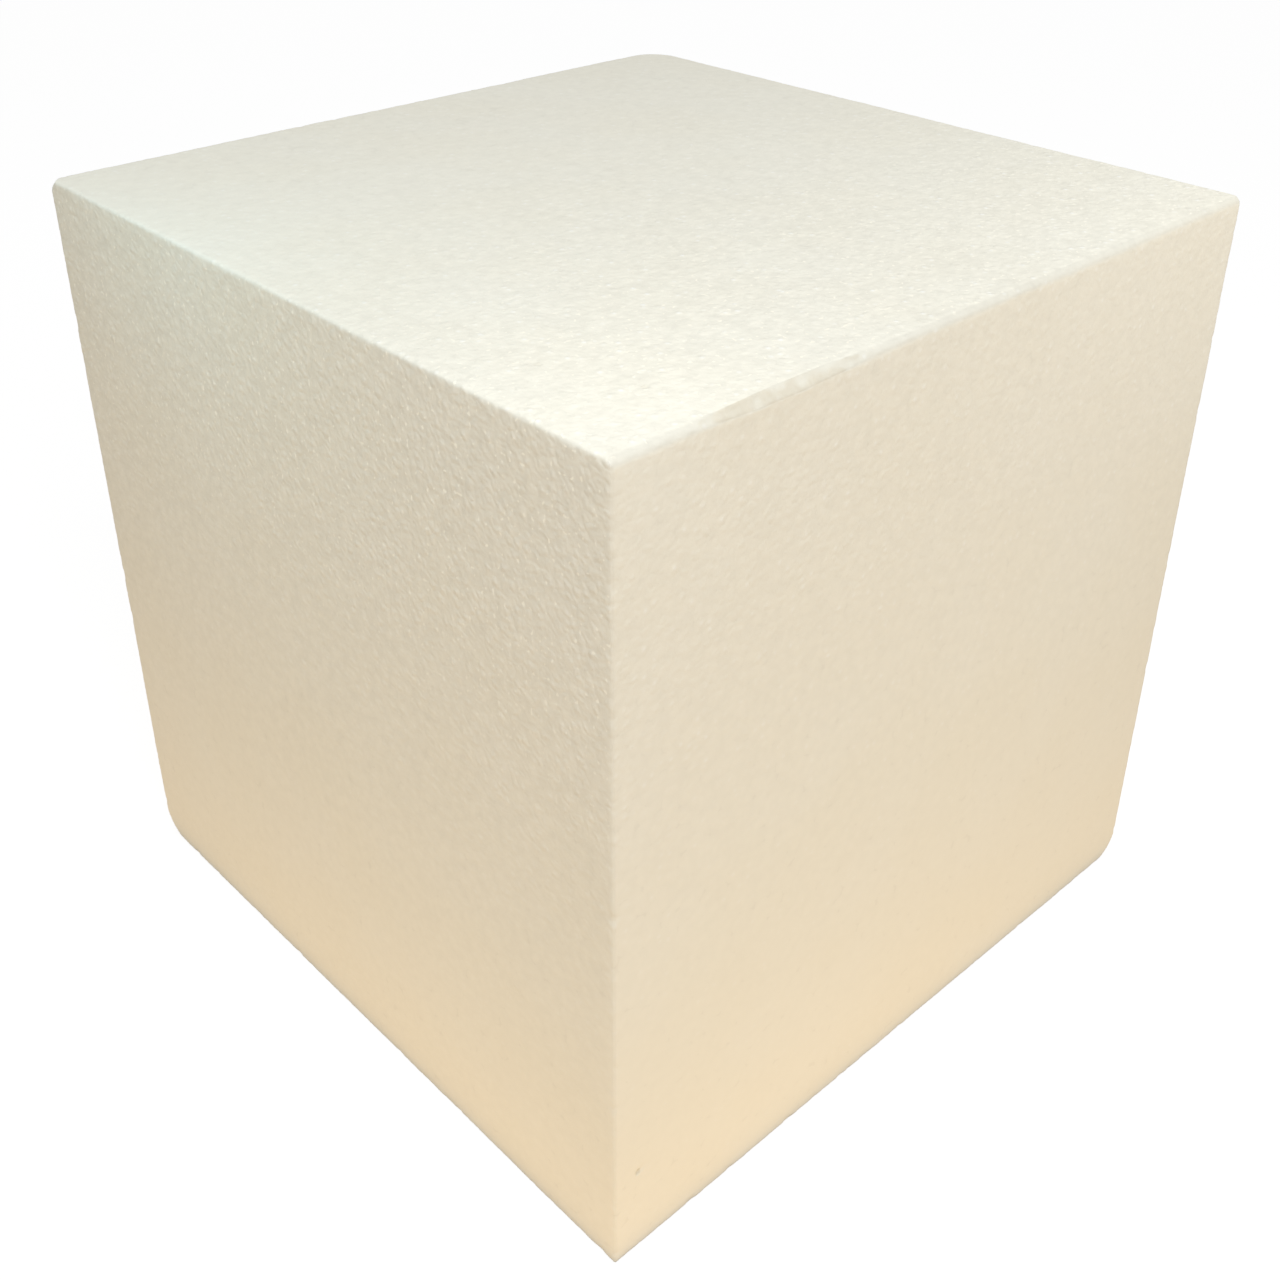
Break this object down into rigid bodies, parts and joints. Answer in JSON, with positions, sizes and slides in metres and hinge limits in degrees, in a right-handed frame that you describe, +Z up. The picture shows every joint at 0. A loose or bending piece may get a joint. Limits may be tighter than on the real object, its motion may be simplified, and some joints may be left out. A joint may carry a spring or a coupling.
{
  "type": "foam block",
  "caption": "Cube of white bead foam, hot-wire cut, with crisp edges, softly worn corners, one rubbed edge and small pits from lost beads.",
  "frame": {"origin": "middle of the base, on the surface that the block stands on", "axes": "+Z up; the front face looks along -Y and the left face along -X, and the crisp upright edge is where those two meet"},
  "size_m": [0.2, 0.2, 0.2],
  "materials": {
    "bead_foam": "matt cream-white bead foam, cut with a hot wire, with a fine bead grain and small glints from cut cell walls"
  },
  "bodies": {
    "root": {"foam_block": "bead_foam"}
  },
  "joints": []
}
